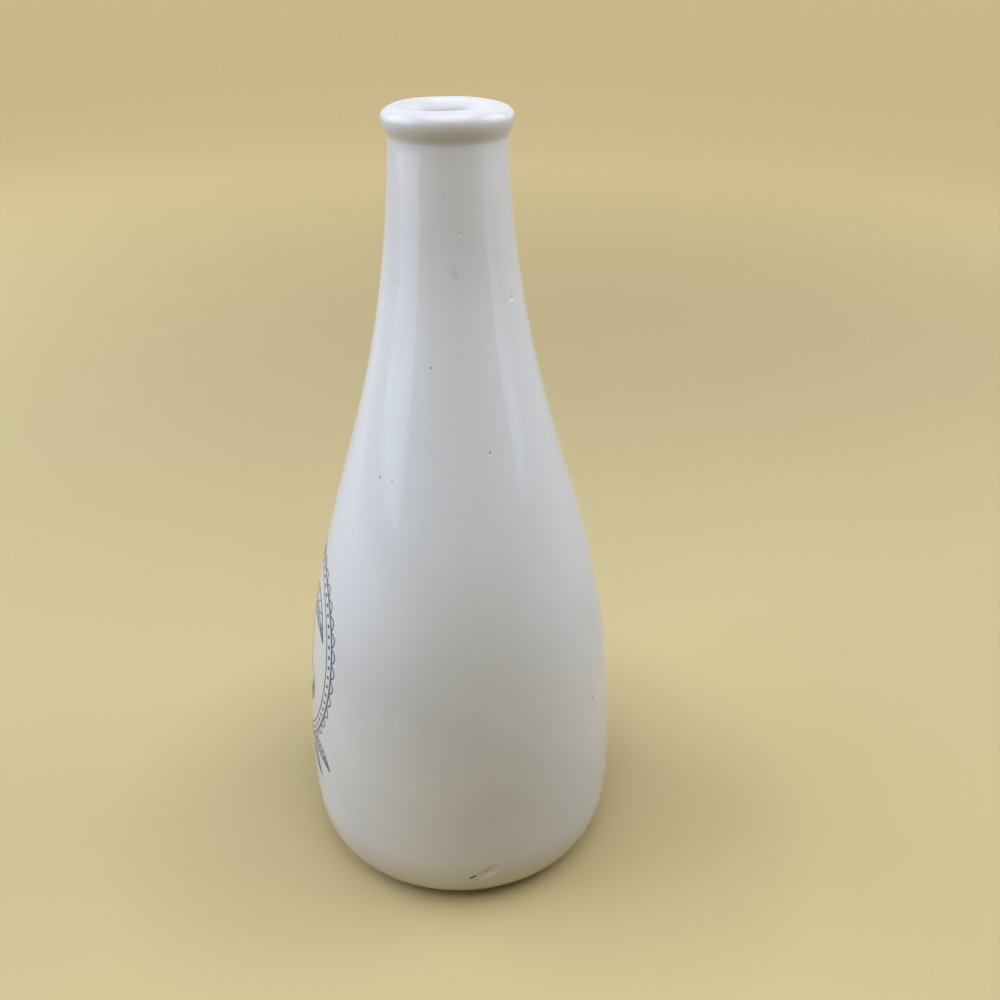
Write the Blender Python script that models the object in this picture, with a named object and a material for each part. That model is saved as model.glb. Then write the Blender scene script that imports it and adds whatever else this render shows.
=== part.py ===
"""A white glazed porcelain liqueur bottle: its fired clay and the three coats of glaze on it.

The bottle is turned about +Z and stands on its bare foot ring at z = 0. Lengths are in metres.
Everything is drawn from one outline of the finished, glazed surface. The clay lies under that
outline by a coat of glaze and the gap that keeps the two meshes apart.
"""

import math

import bmesh
import bpy
from mathutils import Vector
from mathutils.geometry import interpolate_bezier

# Finished outside, from the table to the crest of the lip
BOTTLE_HEIGHT = 0.2100
BODY_RADIUS = 0.0444
WIDEST_HEIGHT = 0.0255
NECK_RADIUS = 0.01415

# Handles of the one long curve from the widest ring of the body up to the neck
BODY_HANDLE = 0.0830
NECK_HANDLE = 0.0800
NECK_SPREAD = 0.0038

# Heel, the round turn from the foot ring up to the widest ring
HEEL_FLOOR_HANDLE = 0.0127
HEEL_SIDE_HANDLE = 0.0185

# Lip, a bead that stands proud of the neck and rolls over into the mouth
LIP_OVERHANG = 0.00145
LIP_FLANK_HEIGHT = 0.0046
LIP_FLANK_HANDLE = 0.0024
LIP_COVE_HANDLE = 0.0011
LIP_SHOULDER_HEIGHT = 0.0027
LIP_SHOULDER_INSET = 0.0031
LIP_SHOULDER_HANDLE = 0.0021
LIP_CREST_HANDLE = 0.0004
MOUTH_EDGE_INSET = 0.0025
MOUTH_EDGE_DROP = 0.0032
MOUTH_EDGE_HANDLE = 0.0010

# Wall that the slip left in the mould, and the throat where the mouth narrows to its bore
WALL = 0.00375
THROAT_HANDLE = 0.0015

# Foot ring and the recess inside it
FOOT_RADIUS = 0.0300
FOOT_RING_WIDTH = 0.0040
FOOT_RING_CHAMFER = 0.0005
RECESS_EDGE_HEIGHT = 0.0012
RECESS_HEIGHT = 0.0030
RECESS_HANDLE = 0.0120

# Glaze: its thickness, where each coat stops, and the gap around each coat
GLAZE = 0.0005
GLAZE_GAP = 0.0003
GLAZE_EDGE_HEIGHT = 0.0005
GLAZE_LINE_DEPTH = 0.0140
RECESS_GLAZE_MARGIN = 0.0008

# Facets: sides round the bottle, and points along each stretch of the outline
SIDES = 40
HEEL_POINTS = 8
TAPER_POINTS = 15
LIP_FLANK_POINTS = 5
LIP_SHOULDER_POINTS = 4
MOUTH_EDGE_POINTS = 4
THROAT_POINTS = 4
INNER_TAPER_POINTS = 10
INNER_HEEL_POINTS = 5
BASE_POINTS = 5
MERGE_DISTANCE = 1e-6
SMOOTH_ANGLE = math.radians(35)

# Radii, heights and the depth of the clay that follow from the sizes above
LIP_RADIUS = NECK_RADIUS + LIP_OVERHANG
CREST_RADIUS = LIP_RADIUS - LIP_SHOULDER_INSET
LIP_WIDEST_HEIGHT = BOTTLE_HEIGHT - LIP_SHOULDER_HEIGHT
NECK_TOP_HEIGHT = LIP_WIDEST_HEIGHT - LIP_FLANK_HEIGHT
RECESS_RADIUS = FOOT_RADIUS - FOOT_RING_WIDTH
CLAY_DEPTH = GLAZE + GLAZE_GAP


def point(radius, height):
    return Vector((radius, height))


def curve(start, start_handle, end_handle, end, points):
    """The points of one Bezier stretch of an outline. The handles are offsets from its ends."""
    return interpolate_bezier(start, start + start_handle, end + end_handle, end, points)


def joined(*stretches):
    """One outline from stretches that follow each other. A shared end point is kept once."""
    outline = list(stretches[0])
    for stretch in stretches[1:]:
        shared = (stretch[0] - outline[-1]).length < MERGE_DISTANCE
        outline += stretch[1:] if shared else stretch
    return outline


def offset(outline, distance):
    """The outline moved to its left by distance, mitred so that each side stays parallel."""
    directions = [(end - begin).normalized() for begin, end in zip(outline, outline[1:])]
    arriving = directions[:1] + directions
    leaving = directions + directions[-1:]
    moved = []
    for here, before, after in zip(outline, arriving, leaving):
        along = (before + after).normalized()
        if here.x < MERGE_DISTANCE:
            moved.append(here + point(0.0, distance / along.x))
        else:
            moved.append(here + point(-along.y, along.x) * distance / along.dot(after))
    return moved


def cut(outline, height):
    """The outline in two, parted where it first crosses a height.

    A point within a coat's thickness of the cut is dropped, so that an offset can't fold there.
    """
    for place, (begin, end) in enumerate(zip(outline, outline[1:]), start=1):
        if min(begin.y, end.y) < height < max(begin.y, end.y):
            here = begin.lerp(end, (height - begin.y) / (end.y - begin.y))
            before = [p for p in outline[:place] if (p - here).length > GLAZE]
            after = [p for p in outline[place:] if (p - here).length > GLAZE]
            return before + [here], [here] + after
    raise ValueError("the outline doesn't cross that height")


def heel(points):
    """Finished outside from the foot ring round to the widest ring."""
    return curve(
        point(FOOT_RADIUS, 0.0),
        point(HEEL_FLOOR_HANDLE, 0.0),
        point(0.0, -HEEL_SIDE_HANDLE),
        point(BODY_RADIUS, WIDEST_HEIGHT),
        points,
    )


def taper(points):
    """Finished outside from the widest ring up to the neck, under the lip."""
    return curve(
        point(BODY_RADIUS, WIDEST_HEIGHT),
        point(0.0, BODY_HANDLE),
        point(NECK_SPREAD, -NECK_HANDLE),
        point(NECK_RADIUS, NECK_TOP_HEIGHT),
        points,
    )


def lip():
    """The finished bead: its flank above the neck, its shoulder, and its edge in the mouth."""
    widest = point(LIP_RADIUS, LIP_WIDEST_HEIGHT)
    crest = point(CREST_RADIUS, BOTTLE_HEIGHT)
    flank = curve(
        point(NECK_RADIUS, NECK_TOP_HEIGHT),
        point(0.0, LIP_COVE_HANDLE),
        point(0.0, -LIP_FLANK_HANDLE),
        widest,
        LIP_FLANK_POINTS,
    )
    shoulder = curve(
        widest,
        point(0.0, LIP_SHOULDER_HANDLE),
        point(LIP_CREST_HANDLE, 0.0),
        crest,
        LIP_SHOULDER_POINTS,
    )
    mouth_edge = curve(
        crest,
        point(-MOUTH_EDGE_HANDLE, 0.0),
        point(0.0, MOUTH_EDGE_HANDLE),
        crest - point(MOUTH_EDGE_INSET, MOUTH_EDGE_DROP),
        MOUTH_EDGE_POINTS,
    )
    return joined(flank, shoulder, mouth_edge)


def inside(mouth):
    """Finished inside, from the mouth's edge through the neck to the middle of the floor."""
    wall = offset(joined(heel(INNER_HEEL_POINTS), taper(INNER_TAPER_POINTS)), WALL)[::-1]
    throat = curve(
        mouth,
        point(0.0, -THROAT_HANDLE),
        point(0.0, THROAT_HANDLE),
        wall[0],
        THROAT_POINTS,
    )
    floor = curve(
        wall[-1],
        point(-RECESS_HANDLE, 0.0),
        point(RECESS_HANDLE, 0.0),
        point(0.0, RECESS_HEIGHT + WALL),
        BASE_POINTS,
    )
    return joined(throat, wall, floor)


def recess():
    """Finished underside, from the edge of its glaze up to the middle of the base."""
    rise = RECESS_HEIGHT - RECESS_EDGE_HEIGHT
    return curve(
        point(RECESS_RADIUS - RECESS_GLAZE_MARGIN, RECESS_EDGE_HEIGHT),
        point(-RECESS_HANDLE, rise),
        point(RECESS_HANDLE, 0.0),
        point(0.0, RECESS_HEIGHT),
        BASE_POINTS,
    )


def foot_ring():
    """The bare ring that bears on the table, from the recess round to the heel."""
    return [
        point(RECESS_RADIUS, RECESS_EDGE_HEIGHT + CLAY_DEPTH),
        point(RECESS_RADIUS, FOOT_RING_CHAMFER),
        point(RECESS_RADIUS + FOOT_RING_CHAMFER, 0.0),
        point(FOOT_RADIUS - FOOT_RING_CHAMFER, 0.0),
        point(FOOT_RADIUS, FOOT_RING_CHAMFER),
        point(FOOT_RADIUS, CLAY_DEPTH),
    ]


def clay(glazed):
    """The outline of the clay, from the middle of the base round to the middle of the floor."""
    return joined(
        offset(recess(), -CLAY_DEPTH)[::-1],
        foot_ring(),
        offset(glazed, CLAY_DEPTH),
    )


def coat(surface, thickness):
    """The outline of a coat of glaze, between its finished surface and its clay side."""
    return surface + offset(surface, thickness)[::-1]


def turned(name, outline, material):
    """A solid of revolution. The side of its outline that lies on the axis makes no face."""
    work = bmesh.new()
    verts = [work.verts.new((p.x, 0.0, p.y)) for p in outline]
    edges = [
        work.edges.new(ends)
        for ends in zip(verts, verts[1:] + verts[:1])
        if max(end.co.x for end in ends) > MERGE_DISTANCE
    ]
    bmesh.ops.spin(
        work,
        geom=verts + edges,
        axis=(0.0, 0.0, 1.0),
        cent=(0.0, 0.0, 0.0),
        angle=math.tau,
        steps=SIDES,
        use_merge=True,
    )
    bmesh.ops.remove_doubles(work, verts=work.verts, dist=MERGE_DISTANCE)
    bmesh.ops.recalc_face_normals(work, faces=work.faces)
    mesh = bpy.data.meshes.new(name)
    work.to_mesh(mesh)
    work.free()
    mesh.shade_smooth()
    mesh.set_sharp_from_angle(angle=SMOOTH_ANGLE)
    mesh.materials.append(material)
    piece = bpy.data.objects.new(name, mesh)
    bpy.context.scene.collection.objects.link(piece)
    return piece


def surface_material(name, colour, roughness):
    """A plain surface. The colour is linear."""
    material = bpy.data.materials.new(name)
    material.use_nodes = True
    shader = material.node_tree.nodes["Principled BSDF"]
    shader.inputs["Base Color"].default_value = (*colour, 1.0)
    shader.inputs["Roughness"].default_value = roughness
    return material


def main():
    for old in list(bpy.data.objects):
        bpy.data.objects.remove(old)

    _, outer = cut(joined(heel(HEEL_POINTS), taper(TAPER_POINTS), lip()), GLAZE_EDGE_HEIGHT)
    inner = inside(outer[-1])
    glaze_line = BOTTLE_HEIGHT - GLAZE_LINE_DEPTH
    throat, _ = cut(inner, glaze_line)
    _, liner = cut(inner, glaze_line - GLAZE_GAP)

    bisque = surface_material("bare_porcelain", (0.80, 0.76, 0.69), 0.75)
    dipped = surface_material("dipped_white_glaze", (0.80, 0.81, 0.82), 0.12)
    poured = surface_material("poured_white_glaze", (0.78, 0.79, 0.79), 0.16)
    brushed = surface_material("brushed_white_glaze", (0.79, 0.79, 0.78), 0.22)
    pieces = [
        turned("porcelain_body", clay(joined(outer, inner)), bisque),
        turned("outer_glaze", coat(joined(outer, throat), GLAZE), dipped),
        turned("liner_glaze", coat(liner, GLAZE), poured),
        turned("base_glaze", coat(recess(), -GLAZE), brushed),
    ]
    bottle = bpy.data.objects.new("bottle", None)
    bpy.context.scene.collection.objects.link(bottle)
    for piece in pieces:
        piece.parent = bottle


main()
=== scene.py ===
"""The glazed porcelain liqueur bottle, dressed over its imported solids.

Lengths are in metres. The bottle is turned about +Z. An angle round it is counted from +X
towards +Y, so the camera stands before the side at three quarters of a turn, and the print
faces -X, at half a turn.
"""

import bisect
import math
import random

import bmesh
import bpy
from mathutils import Euler, Matrix, Vector
from mathutils.bvhtree import BVHTree
from mathutils.geometry import interpolate_bezier


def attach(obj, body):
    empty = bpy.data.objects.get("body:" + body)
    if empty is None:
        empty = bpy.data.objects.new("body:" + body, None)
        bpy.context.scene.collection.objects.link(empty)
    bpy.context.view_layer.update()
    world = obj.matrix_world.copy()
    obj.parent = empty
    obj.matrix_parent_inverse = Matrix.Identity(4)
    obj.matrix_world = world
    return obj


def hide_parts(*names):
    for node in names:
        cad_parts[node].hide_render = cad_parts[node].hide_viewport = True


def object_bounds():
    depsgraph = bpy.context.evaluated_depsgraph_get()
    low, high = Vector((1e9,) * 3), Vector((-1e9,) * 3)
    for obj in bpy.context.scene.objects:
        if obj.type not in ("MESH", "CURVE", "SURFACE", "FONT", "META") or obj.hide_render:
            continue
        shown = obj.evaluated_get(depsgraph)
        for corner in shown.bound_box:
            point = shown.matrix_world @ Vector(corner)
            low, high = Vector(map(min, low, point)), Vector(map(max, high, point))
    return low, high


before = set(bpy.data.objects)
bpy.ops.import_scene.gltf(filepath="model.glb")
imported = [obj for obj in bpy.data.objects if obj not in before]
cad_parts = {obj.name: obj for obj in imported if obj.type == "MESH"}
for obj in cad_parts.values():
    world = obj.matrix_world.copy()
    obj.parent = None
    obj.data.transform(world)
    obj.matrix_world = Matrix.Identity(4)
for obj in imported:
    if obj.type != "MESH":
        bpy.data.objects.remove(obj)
cad_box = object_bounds()

MM = 0.001

# Finished outline: the height and the girth are the frame's, the rest is the maker's drawing
BOTTLE_HEIGHT = cad_box[1].z
BODY_RADIUS = cad_box[1].x
WIDEST_HEIGHT = 25.5 * MM
NECK_RADIUS = 14.15 * MM
BODY_HANDLE = 83.0 * MM
NECK_HANDLE = 80.0 * MM
NECK_SPREAD = 3.8 * MM
HEEL_FLOOR_HANDLE = 12.7 * MM
HEEL_SIDE_HANDLE = 18.5 * MM
LIP_RADIUS = 15.6 * MM
LIP_WIDEST_HEIGHT = BOTTLE_HEIGHT - 2.7 * MM
NECK_TOP_HEIGHT = LIP_WIDEST_HEIGHT - 4.6 * MM
LIP_FLANK_HANDLE = 2.4 * MM
LIP_COVE_HANDLE = 1.1 * MM
CREST_RADIUS = 12.5 * MM
LIP_SHOULDER_HANDLE = 2.1 * MM
LIP_CREST_HANDLE = 0.4 * MM
MOUTH_EDGE_INSET = 2.5 * MM
MOUTH_EDGE_DROP = 3.2 * MM
MOUTH_EDGE_HANDLE = 1.0 * MM
THROAT_HANDLE = 1.5 * MM
WALL = 3.75 * MM
FOOT_RADIUS = 30.0 * MM
RECESS_RADIUS = 26.0 * MM
FOOT_RING_ROUND = 0.5 * MM
RECESS_EDGE_HEIGHT = 1.2 * MM
RECESS_HEIGHT = 3.0 * MM
RECESS_HANDLE = 12.0 * MM

# Coats of glaze. The clay reaches just into the back of each coat, so no slit shows
GLAZE = 0.5 * MM
CLAY_DEPTH = 0.45 * MM
GLAZE_EDGE_HEIGHT = 0.5 * MM
GLAZE_LINE_HEIGHT = BOTTLE_HEIGHT - 14.0 * MM
LINER_OVERLAP = 1.0 * MM
LINER_SINK = 0.12 * MM
RECESS_GLAZE_MARGIN = 0.8 * MM
FOOT_RING_TOP = CLAY_DEPTH * 1.5

# Finish of the glaze: the sizes of its blotches and ripples, the heights between which it thins
# at the foot and is painted darker there as shade, and the radii between which corks have rubbed
# the mouth dull. A belt of painted tone (the bluish painted reflection over the body, the warm
# painted shade under the lip) has the two heights that it reaches between, how far it fades
# beyond them, and its strength
CLOUD_SIZE = 38 * MM
SMEAR_SIZE = 17 * MM
SMEAR_ROUGHNESS = 0.08
RIPPLE_SIZE = 15 * MM
PEEL_SIZE = 1.3 * MM
PEEL_DEPTH = 0.003 * MM
THIN_AND_SHADED_TOP = 18.0 * MM
THIN_AND_SHADED_FOOT = 0.4 * MM
# Painted reflection: a bluish belt over the body stands in for cool window light reflected in it
BLUE_REFLECTION_BELT = (100 * MM, 150 * MM, 40 * MM, 1.0)
# Painted shade: a warm dark belt in the cove under the lip bead
COVE_PAINTED_SHADE = (NECK_TOP_HEIGHT + 1.8 * MM, NECK_TOP_HEIGHT + 3.0 * MM, 2.2 * MM, 0.25)
RUBBED_EDGE = CREST_RADIUS - 0.5 * MM
RUBBED_RADIUS = CREST_RADIUS - 1.3 * MM
RUBBED_ROUGHNESS = 0.34

# Facets: sides round, the spacing of points along an outline, where the points of a coat's
# half round edge lie, and the points that a stretch has at least and is measured with
SIDES = 192
CLAY_SIDES = 96
BODY_STEP = 1.5 * MM
LIP_STEP = 0.3 * MM
CLAY_STEP = 4.0 * MM
EDGE_SHARES = (0.2, 0.4, 0.6, 0.8)
LEAST_POINTS = 4
ROUGH_POINTS = 32
TINY = 0.001 * MM

# What the mould and the fettler left uneven. A wave of the wall has its turns round the
# bottle, its pitch up the wall, its phase and its depth; a wave of the lip has no pitch
WALL_WAVES = (
    (2, 310 * MM, 0.4, 0.09 * MM),
    (3, 130 * MM, 2.1, 0.06 * MM),
    (5, 64 * MM, 4.0, 0.03 * MM),
)
LIP_WAVES = ((1, 0.9, 0.08 * MM), (2, 2.4, 0.10 * MM), (5, 0.3, 0.04 * MM))
LEVEL_FOOT = 6.0 * MM

# The photograph's camera, and places on the bottle at their pixels in its 1000 x 1000 frame. A
# tint has its strength, its colour and, where it is ragged, the size of its grain
PHOTO_SIDE = 1000
LENS_MM = 39.6
SENSOR_MM = 36.0
CAMERA_PLACE = (12.3 * MM, -266.1 * MM, 245.75 * MM)
CAMERA_TILT = math.radians(90 - 27.48)
CAMERA_ROLL = math.radians(0.15)
SPECKS = (
    ((431, 368), 0.22 * MM),
    ((490, 452.5), 0.24 * MM),
    ((380, 477), 0.28 * MM),
    ((392, 481), 0.20 * MM),
    ((593, 698), 0.36 * MM),
    ((423, 734), 0.16 * MM),
    ((346, 822), 0.18 * MM),
    ((488, 822), 0.20 * MM),
    ((396, 293), 0.12 * MM),
    ((434, 230), 0.12 * MM),
)
BACK_SPECKS = 14
BACK_SPECK_ANGLES = (0.05 * math.pi, 0.75 * math.pi)
BACK_SPECK_HEIGHTS = (15 * MM, 195 * MM)
BACK_SPECK_RADII = (0.12 * MM, 0.3 * MM)
BACK_SPECK_SEED = 7
PITS = (((511.5, 298), 0.80 * MM), ((528, 335), 0.40 * MM))
PIT_DEPTH = 0.28 * MM
DIMPLES = (
    ((460, 234), 0.70 * MM),
    ((446, 267), 0.40 * MM),
    ((363, 632), 0.40 * MM),
    ((504, 646), 0.40 * MM),
)
DIMPLE_DEPTH = 0.12 * MM
SMUDGES = (
    ((453, 272), 1.3 * MM),
    ((458, 279), 1.5 * MM),
    ((396, 278), 1.2 * MM),
    ((404, 237), 1.3 * MM),
    ((400, 281), 1.1 * MM),
)
SMUDGE_TINT = (0.3, "#96958F", 0.9 * MM)
SCRATCHES = (((447, 687), (456, 685)), ((438, 627), (444, 625)), ((565, 662), (570, 664)))
SCRATCH_WIDTH = 0.16 * MM
CRACK = ((469.5, 878.5), (473, 877), (476.5, 875.5))
CRACK_WIDTH = 0.5 * MM
FOLD = ((475, 876.5), (499, 863.5))
FOLD_HALF_WIDTH = 1.1 * MM
FOLD_DEPTH = 0.55 * MM
# Painted shade: a darker line along the fold's upper side stands in for the shade in its groove
FOLD_PAINTED_SHADE = ((475, 876.5), (498, 864.5))
FOLD_SHADE_HALF_WIDTH = 0.50 * MM
FOLD_SHADE_TINT = (0.55, "#7E7A73")
# Painted highlight: a whiter band below the fold stands in for the light on the groove's lower
# wall
FOLD_PAINTED_HIGHLIGHT = ((477, 880.5), (504, 867.5))
FOLD_HIGHLIGHT_HALF_WIDTH = 1.0 * MM
FOLD_HIGHLIGHT_TINT = (0.75, "#FCFCFA")

# Print: its middle, and the thickness of the ink above and under the glaze's surface
PRINT_ANGLE = math.pi
PRINT_HEIGHT = 65 * MM
INK_RISE = 0.03 * MM
INK_SUNK = 0.04 * MM
LINE = 0.75 * MM
FINE_LINE = 0.48 * MM
BORDER_HALF_WIDTH = 26.0 * MM
BORDER_HALF_HEIGHT = 31.0 * MM
BORDER_GAP = 3.0 * MM
BORDER_POINTS = 240
BORDER_BEADS = 60
BEAD_RADIUS = 0.60 * MM
BEAD_SIDES = 10
BORDER_SCALLOPS = 40
SCALLOP_POINTS = 10
SCALLOP_DEPTH = 1.7 * MM

# Its cherries have a middle and a radius, and a dip where the stem stands. Their strokes of
# shade, and the wash under them, have a share of that radius and the angles that they reach
# between. A leaf has its base, a point that pulls its rib to one side, its tip and half width
CHERRIES = (((-9.0 * MM, -9.0 * MM), 6.4 * MM), ((8.0 * MM, -11.0 * MM), 6.0 * MM))
DIP_DEPTH = 0.12
DIP_SPREAD = 0.3
STEM_FOOT = 0.86
STEM_LEAN = 0.9
STEM_BOW = 3 * MM
STEM_JOINT = (1.0 * MM, 12.0 * MM)
TWIG = ((1.5 * MM, 15 * MM), (3.0 * MM, 17.5 * MM))
TWIG_LINE = LINE * 1.6
HATCHING = ((0.84, -1.9, 0.7), (0.70, -1.7, 0.5), (0.56, -1.45, 0.25), (0.43, -1.2, 0.0))
HATCH_POINTS = 24
WASH_SHARES = (0.96, 0.40)
WASH_REACH = (-2.0, 0.9)
WASH_POINTS = 30
LEAVES = (
    (STEM_JOINT, (-5.0 * MM, 20.0 * MM), (-17.5 * MM, 10.0 * MM), 4.4 * MM),
    (STEM_JOINT, (9.0 * MM, 21.0 * MM), (19.0 * MM, 8.0 * MM), 4.0 * MM),
    ((15.5 * MM, -27.5 * MM), (21.0 * MM, -26.5 * MM), (26.5 * MM, -31.5 * MM), 1.9 * MM),
    ((-15.5 * MM, -27.5 * MM), (-21.0 * MM, -26.5 * MM), (-26.5 * MM, -31.5 * MM), 1.9 * MM),
    ((13.5 * MM, -29.0 * MM), (15.5 * MM, -34.0 * MM), (20.5 * MM, -37.0 * MM), 1.7 * MM),
    ((-13.5 * MM, -29.0 * MM), (-15.5 * MM, -34.0 * MM), (-20.5 * MM, -37.0 * MM), 1.7 * MM),
)
RIB_POINTS = 33
VEIN_STEP = 5
VEIN_LEAN = 4
VEIN_REACH = 0.82
VEIN_POINTS = 6
VEIN_LINE = FINE_LINE * 0.8

# The studio: a paper floor that looks paler from near the bottle outward, and again beyond the
# lamps' reach, and soft lamps. A paleness has the two distances that it rises between, and its
# strength. A lamp has its name, middle, width, height, brightness and colour
FLOOR_REACH = 8.0
PAPER = "#D6C493"
NEAR_PALENESS = (0.045, 0.11, 0.2)
FAR_PALENESS = (0.2, 1.1, 0.55)
LAMP_AIM = (0.0, 0.0, 0.1)
LAMPS = (
    ("skylight", (0.02, -0.12, 0.50), 0.3, 0.4, 2.9, "#FFFDFA"),
    ("left_window", (-0.75, 0.03, 0.65), 0.9, 0.6, 2.5, "#E8F0FF"),
    ("low_left_window", (-0.72, 0.0, 0.33), 1.2, 0.48, 1.45, "#DAE6FF"),
    ("right_window", (0.42, 0.06, 0.43), 0.4, 0.3, 3.1, "#EDF3FF"),
    ("low_right_window", (0.75, 0.20, 0.28), 1.2, 0.34, 0.95, "#DFE9FF"),
)
ROOM = "#E9ECF1"


def point(radius, height):
    return Vector((radius, height))


def stretch(start, start_handle, end_handle, end, step):
    """A Bezier stretch of an outline, with about one point a step. Handles are offsets."""
    corners = (start, start + start_handle, end + end_handle, end)
    rough = interpolate_bezier(*corners, ROUGH_POINTS)
    length = sum((there - here).length for here, there in zip(rough, rough[1:]))
    return interpolate_bezier(*corners, max(LEAST_POINTS, round(length / step)))


def full_turn(steps):
    """The angles that part a full turn into equal steps."""
    return [math.tau * step / steps for step in range(steps)]


def joined(*stretches):
    """One outline from stretches that follow each other. A shared end point is kept once."""
    outline = list(stretches[0])
    for more in stretches[1:]:
        shared = (more[0] - outline[-1]).length < TINY
        outline += more[1:] if shared else more
    return outline


def offset(outline, distance):
    """The outline moved to its left by distance."""
    directions = [(there - here).normalized() for here, there in zip(outline, outline[1:])]
    arriving = directions[:1] + directions
    leaving = directions + directions[-1:]
    moved = []
    for here, before, after in zip(outline, arriving, leaving):
        along = (before + after).normalized()
        if here.x < TINY:
            moved.append(here + point(0.0, distance / along.x))
        else:
            moved.append(here + point(-along.y, along.x) * distance / along.dot(after))
    return moved


def heel_and_taper(step):
    """Finished outside from the foot ring up to the neck under the lip."""
    heel = stretch(
        point(FOOT_RADIUS, 0.0),
        point(HEEL_FLOOR_HANDLE, 0.0),
        point(0.0, -HEEL_SIDE_HANDLE),
        point(BODY_RADIUS, WIDEST_HEIGHT),
        step,
    )
    taper = stretch(
        heel[-1],
        point(0.0, BODY_HANDLE),
        point(NECK_SPREAD, -NECK_HANDLE),
        point(NECK_RADIUS, NECK_TOP_HEIGHT),
        step,
    )
    return joined(heel, taper)


def lip(step):
    """The finished bead, from the neck over its crest to its edge in the mouth."""
    widest = point(LIP_RADIUS, LIP_WIDEST_HEIGHT)
    crest = point(CREST_RADIUS, BOTTLE_HEIGHT)
    flank = stretch(
        point(NECK_RADIUS, NECK_TOP_HEIGHT),
        point(0.0, LIP_COVE_HANDLE),
        point(0.0, -LIP_FLANK_HANDLE),
        widest,
        step,
    )
    shoulder = stretch(
        widest,
        point(0.0, LIP_SHOULDER_HANDLE),
        point(LIP_CREST_HANDLE, 0.0),
        crest,
        step,
    )
    mouth_edge = stretch(
        crest,
        point(-MOUTH_EDGE_HANDLE, 0.0),
        point(0.0, MOUTH_EDGE_HANDLE),
        crest - point(MOUTH_EDGE_INSET, MOUTH_EDGE_DROP),
        step,
    )
    return joined(flank, shoulder, mouth_edge)


def inside(mouth, step):
    """Finished inside, from the mouth's edge through the neck to the middle of the floor."""
    wall = offset(heel_and_taper(step), WALL)[::-1]
    throat = stretch(
        mouth,
        point(0.0, -THROAT_HANDLE),
        point(0.0, THROAT_HANDLE),
        wall[0],
        min(step, BODY_STEP),
    )
    floor = stretch(
        wall[-1],
        point(-RECESS_HANDLE, 0.0),
        point(RECESS_HANDLE, 0.0),
        point(0.0, RECESS_HEIGHT + WALL),
        step,
    )
    return joined(throat, wall, floor)


def recess(step):
    """Finished underside, from the middle of the base out to the edge of its glaze."""
    return stretch(
        point(0.0, RECESS_HEIGHT),
        point(RECESS_HANDLE, 0.0),
        point(-RECESS_HANDLE, RECESS_HEIGHT - RECESS_EDGE_HEIGHT),
        point(RECESS_RADIUS - RECESS_GLAZE_MARGIN, RECESS_EDGE_HEIGHT),
        step,
    )


def coat(surface):
    """The outline of a coat of glaze with a rounded edge, from its finished surface."""
    back = offset(surface, GLAZE)[::-1]
    return surface + rounded(surface[-2:], back[0]) + back + rounded(back[-2:], surface[0])


def rounded(leaving, end):
    """The half circle at a coat's edge, from the last side of one face to the other face."""
    start = leaving[1]
    if start.x < TINY:
        return []
    middle = (start + end) / 2
    across = start - middle
    ahead = (leaving[1] - leaving[0]).normalized() * across.length
    turns = [math.pi * share for share in EDGE_SHARES]
    return [middle + across * math.cos(turn) + ahead * math.sin(turn) for turn in turns]


OUTSIDE = [p for p in heel_and_taper(BODY_STEP) if p.y > GLAZE_EDGE_HEIGHT]
OUTSIDE_HEIGHTS = [p.y for p in OUTSIDE]


def radius_at(height):
    """The finished outside's radius at a height between the heel and the lip."""
    place = min(max(bisect.bisect(OUTSIDE_HEIGHTS, height), 1), len(OUTSIDE) - 1)
    low, high = OUTSIDE[place - 1], OUTSIDE[place]
    return low.x + (high.x - low.x) * (height - low.y) / (high.y - low.y)


def uneven(angle, height):
    """How far the wall stands off its true circle, fading out at the level foot."""
    fade = min(height / LEVEL_FOOT, 1.0)
    return fade * sum(
        depth * math.cos(turns * angle + math.tau * height / pitch + phase)
        for turns, pitch, phase, depth in WALL_WAVES
    )


def lip_rise(angle, height):
    """How far the hand-finished lip stands off its level."""
    share = max(0.0, height - NECK_TOP_HEIGHT) / (BOTTLE_HEIGHT - NECK_TOP_HEIGHT)
    return share * sum(
        depth * math.cos(turns * angle + phase) for turns, phase, depth in LIP_WAVES
    )


def placed(angle, radius, height):
    """A point of the turned form, moved by what is uneven there."""
    radius += uneven(angle, height) * radius / BODY_RADIUS
    return (
        radius * math.cos(angle),
        radius * math.sin(angle),
        height + lip_rise(angle, height),
    )


def on_glaze(angle, height, lift):
    """A place at a lift above the glaze."""
    return Vector(placed(angle, radius_at(height) + lift, height))


def new_piece(name, mesh, material, slot, *nodes):
    """A shown piece that rides on the bottle's one body, and stands for the named solids."""
    mesh.materials.append(material)
    piece = bpy.data.objects.new(name, mesh)
    bpy.context.scene.collection.objects.link(piece)
    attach(piece, "root")
    if nodes:
        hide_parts(*nodes)
    return piece


def turned(name, outline, sides):
    """A closed mesh turned from an outline that goes up outside and comes down inside."""
    corners, rings, faces = [], [], []
    for p in outline:
        if p.x < TINY:
            rings.append([len(corners)] * sides)
            corners.append((0.0, 0.0, p.y))
        else:
            rings.append(range(len(corners), len(corners) + sides))
            corners += [placed(turn, p.x, p.y) for turn in full_turn(sides)]
    for lower, upper in zip(rings, rings[1:] + rings[:1]):
        if lower[0] == lower[1] and upper[0] == upper[1]:
            continue
        for side in range(sides):
            after = (side + 1) % sides
            face = (lower[side], lower[after], upper[after], upper[side])
            faces.append(list(dict.fromkeys(face)))
    mesh = bpy.data.meshes.new(name)
    mesh.from_pydata(corners, [], faces)
    mesh.shade_smooth()
    return mesh


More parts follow.
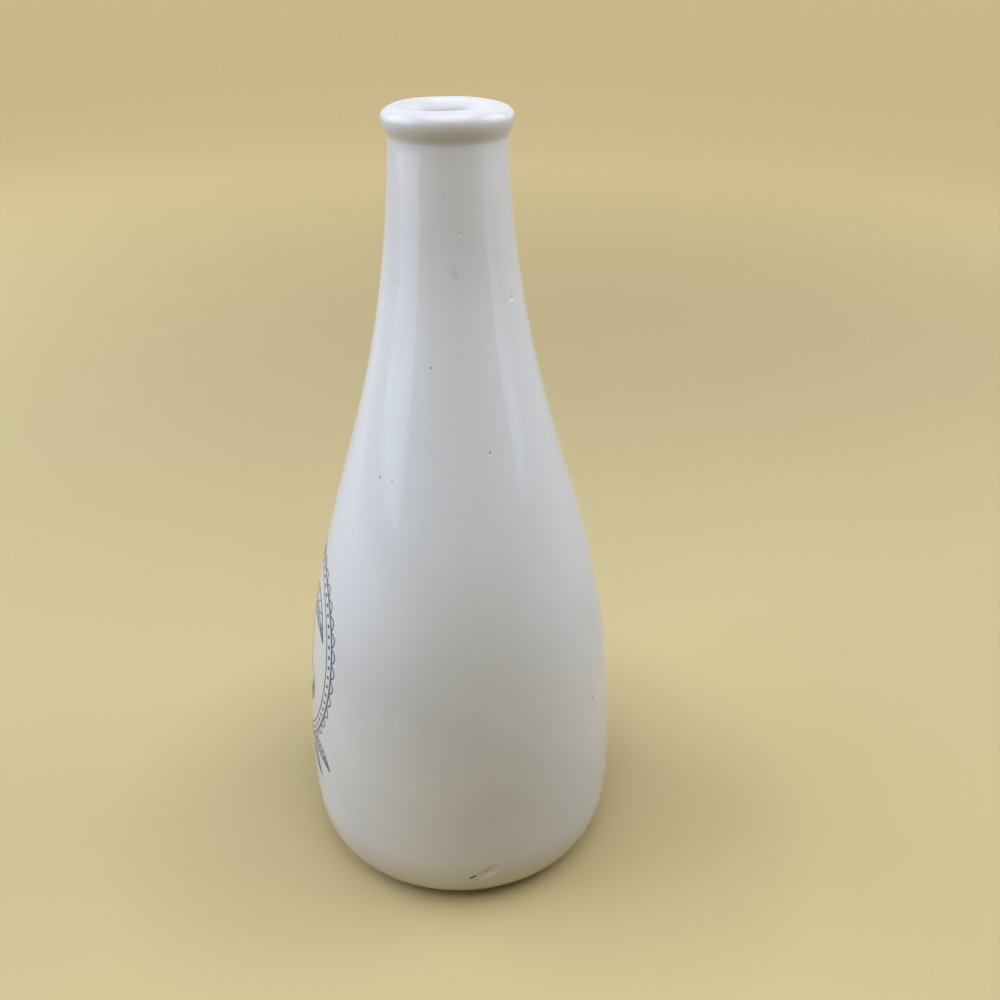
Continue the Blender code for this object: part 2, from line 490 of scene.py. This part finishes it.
def linear(hex_colour):
    """An sRGB hex colour as linear red, green, blue and alpha."""
    shares = [int(hex_colour[place : place + 2], 16) / 255 for place in (1, 3, 5)]
    return (*(s / 12.92 if s <= 0.04045 else ((s + 0.055) / 1.055) ** 2.4 for s in shares), 1.0)


def add_node(tree, kind, inputs=None, **settings):
    """A node with its settings. Each input is given a value, or linked to another's socket."""
    node = tree.nodes.new(kind)
    for name, value in settings.items():
        setattr(node, name, value)
    for name, value in (inputs or {}).items():
        if isinstance(value, bpy.types.NodeSocket):
            tree.links.new(value, node.inputs[name])
        else:
            node.inputs[name].default_value = value
    return node


def new_material(name, roughness, ior=1.5):
    """A material, its node tree and its shader."""
    material = bpy.data.materials.new(name)
    material.use_nodes = True
    shader = material.node_tree.nodes["Principled BSDF"]
    shader.inputs["Roughness"].default_value = roughness
    shader.inputs["IOR"].default_value = ior
    return material, material.node_tree, shader


def noise(tree, place, size, detail=2.0):
    """Noise whose blotches are about one size across, in metres."""
    return add_node(
        tree, "ShaderNodeTexNoise", {"Vector": place, "Scale": 1 / size, "Detail": detail}
    ).outputs["Fac"]


def ranged(tree, value, start, end, least=0.0, most=1.0, **settings):
    """A value that goes from least to most while another goes from start to end."""
    inputs = {
        "Value": value,
        "From Min": start,
        "From Max": end,
        "To Min": least,
        "To Max": most,
    }
    return add_node(tree, "ShaderNodeMapRange", inputs, **settings).outputs["Result"]


def combined(tree, operation, first, second):
    """Two values combined by a sum, a product or a maximum."""
    return add_node(tree, "ShaderNodeMath", {0: first, 1: second}, operation=operation).outputs[0]


def mixed(tree, share, first, second):
    """A colour that goes from the first to the second by a share."""
    inputs = {0: share, 6: first, 7: second}
    return add_node(tree, "ShaderNodeMix", inputs, data_type="RGBA").outputs[2]


def bumped(tree, height, depth, normal=None, **settings):
    """The surface's normal, bent by a height and a depth in metres, on top of an earlier bend."""
    inputs = {"Height": height, "Distance": depth, "Strength": 1.0}
    if normal is not None:
        inputs["Normal"] = normal
    return add_node(tree, "ShaderNodeBump", inputs, **settings).outputs["Normal"]


def object_place(tree):
    return add_node(tree, "ShaderNodeTexCoord").outputs["Object"]


def height_of(tree, place):
    return add_node(tree, "ShaderNodeSeparateXYZ", {"Vector": place}).outputs["Z"]


def white_glaze(name, white, shade, thin, roughness, ripple):
    """Feldspathic white glaze, fired glossy over porcelain.

    It gives a milky white that clouds a little where it ran thick, a cream edge where it thins
    over the clay, darkened towards the foot as painted shade, and reflections that a slow ripple
    bends.
    """
    material, tree, shader = new_material(name, roughness)
    place = object_place(tree)
    cloud = ranged(tree, noise(tree, place, CLOUD_SIZE, 3.0), 0.35, 0.65)
    clouded = mixed(tree, cloud, linear(white), linear(shade))
    # Cream of the thinning coat, and painted shade: the colour turns darker towards the foot
    foot_thin_and_shaded = ranged(tree, height_of(tree, place), THIN_AND_SHADED_TOP, THIN_AND_SHADED_FOOT)
    tree.links.new(mixed(tree, foot_thin_and_shaded, clouded, linear(thin)), shader.inputs["Base Color"])
    smear = noise(tree, place, SMEAR_SIZE, 4.0)
    dulled = ranged(tree, smear, 0.4, 0.7, roughness, roughness + SMEAR_ROUGHNESS)
    tree.links.new(dulled, shader.inputs["Roughness"])
    wave = bumped(tree, noise(tree, place, RIPPLE_SIZE, 1.0), ripple)
    peel = bumped(tree, noise(tree, place, PEEL_SIZE, 1.0), PEEL_DEPTH, wave)
    tree.links.new(peel, shader.inputs["Normal"])
    return material


def plain_finish(name, colour, other, size, roughness):
    """A plain finish that drifts between two near tones, in blotches of a given size."""
    material, tree, shader = new_material(name, roughness)
    drift = noise(tree, object_place(tree), size, 3.0)
    tree.links.new(mixed(tree, drift, linear(colour), linear(other)), shader.inputs["Base Color"])
    return material


def ink(name, full, worn):
    """Transfer print in cobalt blue, fired on: nearly as glossy as the glaze, uneven in depth."""
    return plain_finish(name, full, worn, 2.2 * MM, 0.2)


def bisque():
    """Bare fired porcelain, wiped clean of glaze: matt, warm, and finely gritty to the eye."""
    material, tree, shader = new_material("bare_bisque_porcelain", 0.7)
    place = object_place(tree)
    colour = mixed(tree, noise(tree, place, 6 * MM, 4.0), linear("#E9E1D2"), linear("#CFC5B3"))
    tree.links.new(colour, shader.inputs["Base Color"])
    grit = bumped(tree, noise(tree, place, 0.5 * MM, 3.0), 0.02 * MM)
    tree.links.new(grit, shader.inputs["Normal"])
    return material


def patches(tree, spots):
    """1 at the middle of each small ellipsoid, fading to 0 at its rim.

    A spot is its middle, its direction along the glaze, its direction outward, and its three
    half sizes.
    """
    place = object_place(tree)
    total = None
    for middle, along, outward, sizes in spots:
        side = outward.cross(along).normalized()
        turn = Matrix((along, side, along.cross(side))).transposed().to_euler()
        local = add_node(
            tree,
            "ShaderNodeMapping",
            {"Vector": place, "Location": middle, "Rotation": turn, "Scale": sizes},
            vector_type="TEXTURE",
        )
        share = add_node(
            tree,
            "ShaderNodeTexGradient",
            {"Vector": local.outputs["Vector"]},
            gradient_type="SPHERICAL",
        ).outputs["Fac"]
        if total is None:
            total = share
        else:
            total = combined(tree, "MAXIMUM", total, share)
    return total


def blend_in(material, share, colour):
    """Blends a colour into a glaze, by a share that varies over it."""
    tree = material.node_tree
    base = tree.nodes["Principled BSDF"].inputs["Base Color"]
    tree.links.new(mixed(tree, share, base.links[0].from_socket, linear(colour)), base)


def belt(tree, low, high, fade, strength):
    """A strength between two heights round the bottle, fading to 0 beyond them."""
    height = height_of(tree, object_place(tree))
    smooth = {"interpolation_type": "SMOOTHSTEP"}
    rise = ranged(tree, height, low - fade, low, most=strength, **smooth)
    fall = ranged(tree, height, high + fade, high, **smooth)
    return combined(tree, "MULTIPLY", rise, fall)


def paint_reflection_and_shade(material):
    """Paints a bluish belt over the body, a painted reflection of cool light, and a warm painted
    shade in the cove under the lip."""
    tree = material.node_tree
    # Painted reflection: a bluish belt over the body
    blend_in(material, belt(tree, *BLUE_REFLECTION_BELT), "#E6EAF1")
    # Painted shade: a warm dark belt in the cove under the lip bead
    blend_in(material, belt(tree, *COVE_PAINTED_SHADE), "#AC8C60")


def rub_mouth(material):
    """Dulls a glaze where corks have rubbed it, inside the mouth."""
    tree = material.node_tree
    rough = tree.nodes["Principled BSDF"].inputs["Roughness"]
    level = add_node(
        tree,
        "ShaderNodeVectorMath",
        {0: object_place(tree), 1: (1.0, 1.0, 0.0)},
        operation="MULTIPLY",
    )
    girth = add_node(tree, "ShaderNodeVectorMath", {0: level.outputs[0]}, operation="LENGTH")
    rubbed = ranged(
        tree, girth.outputs["Value"], RUBBED_EDGE, RUBBED_RADIUS, most=RUBBED_ROUGHNESS
    )
    tree.links.new(combined(tree, "MAXIMUM", rough.links[0].from_socket, rubbed), rough)


def press_glaze(material, spots, depth):
    """Dents in a glaze, of one depth, with the light of their far rim."""
    tree = material.node_tree
    normal = tree.nodes["Principled BSDF"].inputs["Normal"]
    before = normal.links[0].from_socket
    pressed = bumped(tree, patches(tree, spots), depth, before, invert=True)
    tree.links.new(pressed, normal)


def tint_glaze(material, spots, strength, colour, grain=None):
    """Tints in a glaze: dust and dirt that darken it, and the painted shade and painted highlight
    along the fold. A grain size makes them ragged."""
    tree = material.node_tree
    share = strength
    if grain:
        share = ranged(tree, noise(tree, object_place(tree), grain, 3.0), 0.4, 0.6, most=strength)
    blend_in(material, combined(tree, "MULTIPLY", patches(tree, spots), share), colour)


def make_camera():
    camera = bpy.data.objects.new("camera", bpy.data.cameras.new("camera"))
    camera.data.lens = LENS_MM
    camera.data.sensor_width = SENSOR_MM
    camera.data.clip_start = 0.01
    camera.data.clip_end = 50.0
    camera.location = CAMERA_PLACE
    camera.rotation_euler = Euler((CAMERA_TILT, CAMERA_ROLL, 0.0))
    bpy.context.scene.collection.objects.link(camera)
    bpy.context.scene.camera = camera
    bpy.context.view_layer.update()
    return camera


def seen_at(pixel, camera, surface):
    """The place on the bottle that a pixel of the photograph shows, and its direction outward."""
    across = (pixel[0] / PHOTO_SIDE - 0.5) * SENSOR_MM
    up = (0.5 - pixel[1] / PHOTO_SIDE) * SENSOR_MM
    ray = camera.matrix_world.to_3x3() @ Vector((across, up, -LENS_MM))
    place, outward, _, _ = surface.ray_cast(camera.matrix_world.translation, ray.normalized())
    return place, outward if outward.dot(ray) < 0 else -outward


def polar(place):
    """The angle and height of a place on the bottle."""
    return math.atan2(place.y, place.x), place.z


def lay(work, rows, looped=False):
    """Adds a thin closed sheet that lies on the glaze. Its rows hold angle, height and lift."""
    tops = [[work.verts.new(on_glaze(*place)) for place in row] for row in rows]
    backs = [
        [work.verts.new(on_glaze(angle, height, -INK_SUNK)) for angle, height, _ in row]
        for row in rows
    ]
    last = len(rows[0]) - 1
    steps = list(zip(range(len(rows)), range(1, len(rows))))
    if looped:
        steps.append((len(rows) - 1, 0))
    for here, there in steps:
        for left in range(last):
            for layer in (tops, backs):
                near, far = layer[here], layer[there]
                work.faces.new((near[left], near[left + 1], far[left + 1], far[left]))
        for side in (0, last):
            corners = (tops[here], tops[there], backs[there], backs[here])
            work.faces.new([row[side] for row in corners])
    if not looped:
        for top, back in ((tops[0], backs[0]), (tops[-1], backs[-1])):
            for left in range(last):
                work.faces.new((top[left], top[left + 1], back[left + 1], back[left]))


def laid_mesh(name, work):
    """The mesh of sheets laid on the glaze, with the doubled points of discs made one."""
    bmesh.ops.remove_doubles(work, verts=work.verts, dist=TINY / 10)
    bmesh.ops.recalc_face_normals(work, faces=work.faces)
    mesh = bpy.data.meshes.new(name)
    work.to_mesh(mesh)
    work.free()
    return mesh


def around(origin, across, up):
    """The angle and height of a place that lies this far across and up from an origin."""
    height = origin[1] + up
    return origin[0] + across / radius_at(height), height


def stroke(work, origin, line, width, looped=False):
    """A line of even width on the glaze, through points across and up from an origin."""
    rows = []
    count = len(line)
    for place, here in enumerate(line):
        before = line[place - 1] if place or looped else here
        after = line[(place + 1) % count] if place + 1 < count or looped else here
        along = Vector((after[0] - before[0], after[1] - before[1])).normalized()
        side = Vector((-along.y, along.x)) * width / 2
        edges = (here[0] - side.x, here[1] - side.y), (here[0] + side.x, here[1] + side.y)
        rows.append([(*around(origin, *edge), INK_RISE) for edge in edges])
    lay(work, rows, looped)


def disc(work, origin, centre, radius, domed=False, sides=12):
    """A round spot on the glaze, flat or domed."""
    rows = []
    for turn in full_turn(sides):
        row = []
        for share in (0.0, 0.6, 1.0):
            lift = INK_RISE * (1 - share * share) if domed else INK_RISE
            across = centre[0] + radius * share * math.cos(turn)
            up = centre[1] + radius * share * math.sin(turn)
            row.append((*around(origin, across, up), lift))
        rows.append(row)
    lay(work, rows, looped=True)


def border_point(turn, inset):
    """A point of the print's oval border, a distance inside its outer line."""
    across = BORDER_HALF_WIDTH - inset
    up = BORDER_HALF_HEIGHT - inset
    return across * math.cos(turn), up * math.sin(turn)


def border(work, origin):
    """The oval border: two lines with beads between them, in an edging of scallops."""
    for inset, width in ((0.0, LINE), (BORDER_GAP, FINE_LINE)):
        line = [border_point(turn, inset) for turn in full_turn(BORDER_POINTS)]
        stroke(work, origin, line, width, looped=True)
    edging = [
        border_point(turn, -SCALLOP_DEPTH * abs(math.sin(turn * BORDER_SCALLOPS / 2)))
        for turn in full_turn(BORDER_SCALLOPS * SCALLOP_POINTS)
    ]
    stroke(work, origin, edging, FINE_LINE, looped=True)
    for turn in full_turn(BORDER_BEADS):
        disc(work, origin, border_point(turn, BORDER_GAP / 2), BEAD_RADIUS, sides=BEAD_SIDES)


def bent(start, pull, end, points=24):
    """A curve from start to end that a third point pulls to its side."""
    shares = [place / (points - 1) for place in range(points)]
    ends = list(zip(start, pull, end))
    return [
        tuple((1 - s) ** 2 * a + 2 * s * (1 - s) * b + s * s * c for a, b, c in ends)
        for s in shares
    ]


def wash_in(wash, origin, line, other):
    """A wash of colour between two lines, under the strokes."""
    rise = INK_RISE / 2
    rows = [
        [(*around(origin, *here), rise), (*around(origin, *there), rise)]
        for here, there in zip(line, other)
    ]
    lay(wash, rows)


def cherry_outline(centre, radius, share, first=0.0, last=math.tau, points=60):
    """Part of a cherry's outline, drawn at a share of its size, with the dip at its stem."""
    line = []
    for place in range(points):
        turn = first + (last - first) * place / points
        dip = 1 - DIP_DEPTH * math.exp(-(((turn - math.pi / 2) / DIP_SPREAD) ** 2))
        reach = radius * share * dip
        line.append((centre[0] + reach * math.cos(turn), centre[1] + reach * math.sin(turn)))
    return line


def cherry(lines, wash, origin, centre, radius):
    """A cherry on its stem, shaded by curved strokes along its lower right side."""
    stroke(lines, origin, cherry_outline(centre, radius, 1.0), LINE, looped=True)
    for share, first, last in HATCHING:
        line = cherry_outline(centre, radius, share, first, last, HATCH_POINTS)
        stroke(lines, origin, line, FINE_LINE)
    top = (centre[0], centre[1] + radius * STEM_FOOT)
    pull = (top[0] * STEM_LEAN, (top[1] + STEM_JOINT[1]) / 2 + STEM_BOW)
    stroke(lines, origin, bent(top, pull, STEM_JOINT), LINE)
    edges = [cherry_outline(centre, radius, s, *WASH_REACH, WASH_POINTS) for s in WASH_SHARES]
    wash_in(wash, origin, *edges)


def leaf(lines, wash, origin, base, pull, tip, half_width):
    """A leaf with its midrib and side veins, washed in on one half."""
    rib = bent(base, pull, tip, RIB_POINTS)
    halves = {-1: [], 1: []}
    last = len(rib) - 1
    for place, here in enumerate(rib):
        before, after = rib[max(place - 1, 0)], rib[min(place + 1, last)]
        along = Vector((after[0] - before[0], after[1] - before[1])).normalized()
        swell = half_width * math.sin(math.pi * (place / last) ** 0.8)
        for side, edge in halves.items():
            edge.append((here[0] - along.y * swell * side, here[1] + along.x * swell * side))
    stroke(lines, origin, rib, FINE_LINE)
    for side, edge in halves.items():
        stroke(lines, origin, edge, LINE)
        for place in range(VEIN_STEP, last - VEIN_STEP, VEIN_STEP):
            start, end = rib[place], edge[place + VEIN_LEAN]
            reach = [start[axis] + (end[axis] - start[axis]) * VEIN_REACH for axis in (0, 1)]
            stroke(lines, origin, bent(start, start, reach, VEIN_POINTS), VEIN_LINE)
    wash_in(wash, origin, rib[1:-1], halves[-1][1:-1])


def make_print():
    """The printed decoration: a beaded oval border with sprays, round a pair of cherries."""
    origin = (PRINT_ANGLE, PRINT_HEIGHT)
    lines, wash = bmesh.new(), bmesh.new()
    border(lines, origin)
    for centre, radius in CHERRIES:
        cherry(lines, wash, origin, centre, radius)
    for base, pull, tip, half_width in LEAVES:
        leaf(lines, wash, origin, base, pull, tip, half_width)
    stroke(lines, origin, bent(STEM_JOINT, *TWIG), TWIG_LINE)
    for name, work, finish in (
        ("printed_lines", lines, ink("cobalt_transfer_line", "#2F4E75", "#4C6F98")),
        ("printed_wash", wash, ink("cobalt_transfer_wash", "#93B2D2", "#B4CADF")),
    ):
        new_piece(name, laid_mesh(name, work), finish, "outer_white_glaze")


def make_blemishes(camera, glaze):
    """Iron specks, pinholes, smudges, scratches, and the crack and fold by the foot, with a
    painted shade and a painted highlight along the fold.
    """
    mesh = glaze.data
    surface = BVHTree.FromPolygons(
        [corner.co for corner in mesh.vertices], [face.vertices for face in mesh.polygons]
    )
    chance = random.Random(BACK_SPECK_SEED)
    specks, scratches, crack = (bmesh.new() for _ in range(3))
    here = (0.0, 0.0)
    for pixel, radius in SPECKS:
        disc(specks, polar(seen_at(pixel, camera, surface)[0]), here, radius, domed=True)
    for _ in range(BACK_SPECKS):
        place = (chance.uniform(*BACK_SPECK_ANGLES), chance.uniform(*BACK_SPECK_HEIGHTS))
        disc(specks, place, here, chance.uniform(*BACK_SPECK_RADII), domed=True)
    for work, lines, width in (
        (scratches, SCRATCHES, SCRATCH_WIDTH),
        (crack, (CRACK,), CRACK_WIDTH),
    ):
        for pixels in lines:
            places = [polar(seen_at(pixel, camera, surface)[0]) for pixel in pixels]
            start = places[0]
            line = [
                ((angle - start[0]) * radius_at(height), height - start[1])
                for angle, height in places
            ]
            stroke(work, start, line, width)

    def round_spots(spots):
        """Ellipsoids for marks that are as wide as they are long."""
        found = []
        for pixel, radius in spots:
            middle, outward = seen_at(pixel, camera, surface)
            level = Vector((0.0, 0.0, 1.0)).cross(outward).normalized()
            found.append((middle, level, outward, (radius, radius, radius)))
        return found

    def long_spot(pixels, half_width):
        """An ellipsoid for a mark that reaches from one pixel to another."""
        start, end = (seen_at(pixel, camera, surface) for pixel in pixels)
        reach = end[0] - start[0]
        sizes = (reach.length / 2, half_width, 2 * half_width)
        return (start[0] + end[0]) / 2, reach.normalized(), (start[1] + end[1]) / 2, sizes

    white = mesh.materials[0]
    rub_mouth(white)
    press_glaze(white, round_spots(PITS), PIT_DEPTH)
    press_glaze(white, round_spots(DIMPLES), DIMPLE_DEPTH)
    press_glaze(white, [long_spot(FOLD, FOLD_HALF_WIDTH)], FOLD_DEPTH)
    tint_glaze(white, round_spots(SMUDGES), *SMUDGE_TINT)
    # Painted highlight below the fold
    tint_glaze(white, [long_spot(FOLD_PAINTED_HIGHLIGHT, FOLD_HIGHLIGHT_HALF_WIDTH)], *FOLD_HIGHLIGHT_TINT)
    # Painted shade along the fold's upper side
    tint_glaze(white, [long_spot(FOLD_PAINTED_SHADE, FOLD_SHADE_HALF_WIDTH)], *FOLD_SHADE_TINT)
    # Iron that bled through, glaze scuffed matt, and dirt
    iron = plain_finish("iron_speck_in_glaze", "#9C988F", "#77736B", 0.2 * MM, 0.25)
    scuff = plain_finish("scuffed_glaze", "#F4F3F0", "#E4E3DF", 0.5 * MM, 0.55)
    dirt = plain_finish("dirt_in_crack", "#2B2319", "#17120C", 0.4 * MM, 0.8)
    for name, work, finish in (
        ("iron_specks", specks, iron),
        ("scratches", scratches, scuff),
        ("glaze_crack", crack, dirt),
    ):
        new_piece(name, laid_mesh(name, work), finish, "outer_white_glaze")


def make_bottle():
    """The four layers of the bottle. Returns the outer glaze."""
    lip_outline = lip(LIP_STEP)
    bore = inside(lip_outline[-1], BODY_STEP)
    throat = [p for p in bore if p.y > GLAZE_LINE_HEIGHT]
    liner = [p for p in bore if p.y < GLAZE_LINE_HEIGHT + LINER_OVERLAP]
    clay_outside = [p for p in heel_and_taper(CLAY_STEP) if p.y > GLAZE_EDGE_HEIGHT]
    glazed = joined(clay_outside, lip(LIP_STEP), inside(lip_outline[-1], CLAY_STEP))
    ring = [
        point(RECESS_RADIUS, RECESS_EDGE_HEIGHT + CLAY_DEPTH),
        point(RECESS_RADIUS, FOOT_RING_ROUND),
        point(RECESS_RADIUS + FOOT_RING_ROUND, 0.0),
        point(FOOT_RADIUS - FOOT_RING_ROUND, 0.0),
        point(FOOT_RADIUS, FOOT_RING_ROUND),
        point(FOOT_RADIUS, FOOT_RING_TOP),
    ]
    clay = joined(offset(recess(CLAY_STEP), CLAY_DEPTH), ring, offset(glazed, CLAY_DEPTH))

    # The dipped coat's foot colour is cream darkened as painted shade near the floor
    dipped = white_glaze(
        "dipped_white_glaze", "#E5E6E8", "#DBDDE3", "#C9BBA2", 0.05, 0.07 * MM
    )
    poured = white_glaze(
        "poured_white_glaze", "#DFE1E4", "#D6D9DD", "#D6D9DD", 0.12, 0.09 * MM
    )
    brushed = white_glaze(
        "brushed_white_glaze", "#DDDFE2", "#D5D6D8", "#D9D5CC", 0.15, 0.07 * MM
    )
    paint_reflection_and_shade(dipped)
    new_piece(
        "fired_clay",
        turned("fired_clay", clay, CLAY_SIDES),
        bisque(),
        "bare_porcelain",
        "porcelain_body",
    )
    outer = new_piece(
        "dipped_glaze",
        turned("dipped_glaze", coat(joined(OUTSIDE, lip_outline, throat)), SIDES),
        dipped,
        "outer_white_glaze",
        "outer_glaze",
    )
    new_piece(
        "poured_glaze",
        turned("poured_glaze", coat(offset(liner, LINER_SINK)), SIDES),
        poured,
        "liner_white_glaze",
        "liner_glaze",
    )
    new_piece(
        "brushed_glaze",
        turned("brushed_glaze", coat(recess(BODY_STEP)), CLAY_SIDES),
        brushed,
        "base_white_glaze",
        "base_glaze",
    )
    return outer


def seen_directly(tree):
    """1 for what the eye sees straight or in a shine, and 0 for what only lights the bottle."""
    path = add_node(tree, "ShaderNodeLightPath").outputs
    seen = path["Is Camera Ray"]
    for ray in ("Is Glossy Ray", "Is Transmission Ray"):
        seen = combined(tree, "MAXIMUM", seen, path[ray])
    return seen


def paper():
    """Matt straw-coloured paper, IOR about 1.4. Out of the lamps' reach it keeps its paleness."""
    material, tree, shader = new_material("pale_paper", 0.9, 1.4)
    place = object_place(tree)
    colour = mixed(tree, noise(tree, place, 60 * MM, 4.0), linear(PAPER), linear("#D2C08F"))
    tree.links.new(colour, shader.inputs["Base Color"])
    reach = add_node(tree, "ShaderNodeVectorMath", {0: place}, operation="LENGTH")
    distance = reach.outputs["Value"]
    near_start, near_end, near_most = NEAR_PALENESS
    near = ranged(tree, distance, near_start, near_end, most=near_most)
    far_start, far_end, far_most = FAR_PALENESS
    far = ranged(
        tree, distance, far_start, far_end, most=far_most, interpolation_type="SMOOTHSTEP"
    )
    glow = combined(tree, "MULTIPLY", combined(tree, "ADD", near, far), seen_directly(tree))
    shader.inputs["Emission Color"].default_value = linear(PAPER)
    tree.links.new(glow, shader.inputs["Emission Strength"])
    return material


def make_floor():
    """A plain pale floor."""
    signs = ((-1, -1), (1, -1), (1, 1), (-1, 1))
    corners = [(x * FLOOR_REACH, y * FLOOR_REACH, 0.0) for x, y in signs]
    mesh = bpy.data.meshes.new("floor")
    mesh.from_pydata(corners, [], [(0, 1, 2, 3)])
    mesh.materials.append(paper())
    floor = bpy.data.objects.new("floor", mesh)
    bpy.context.scene.collection.objects.link(floor)


def lamp(name, place, width, height, brightness, colour):
    """A soft rectangular lamp that faces the bottle. A brightness of 1 looks white."""
    light = bpy.data.lights.new(name, "AREA")
    light.shape = "RECTANGLE"
    light.size = width
    light.size_y = height
    light.energy = brightness * math.pi * width * height
    light.color = linear(colour)[:3]
    holder = bpy.data.objects.new(name, light)
    holder.location = place
    facing = (Vector(place) - Vector(LAMP_AIM)).to_track_quat("Z", "Y")
    holder.rotation_euler = facing.to_euler()
    holder.visible_camera = False
    bpy.context.scene.collection.objects.link(holder)


def light_scene():
    """A near skylight, windows each side, and a pale room that shows but lights nothing."""
    for settings in LAMPS:
        lamp(*settings)
    world = bpy.data.worlds.new("room")
    world.use_nodes = True
    bpy.context.scene.world = world
    tree = world.node_tree
    background = tree.nodes["Background"]
    background.inputs["Color"].default_value = linear(ROOM)
    tree.links.new(seen_directly(tree), background.inputs["Strength"])
    bpy.context.scene.view_settings.view_transform = "Standard"


camera = make_camera()
dipped_glaze = make_bottle()
make_blemishes(camera, dipped_glaze)
make_print()
make_floor()
light_scene()
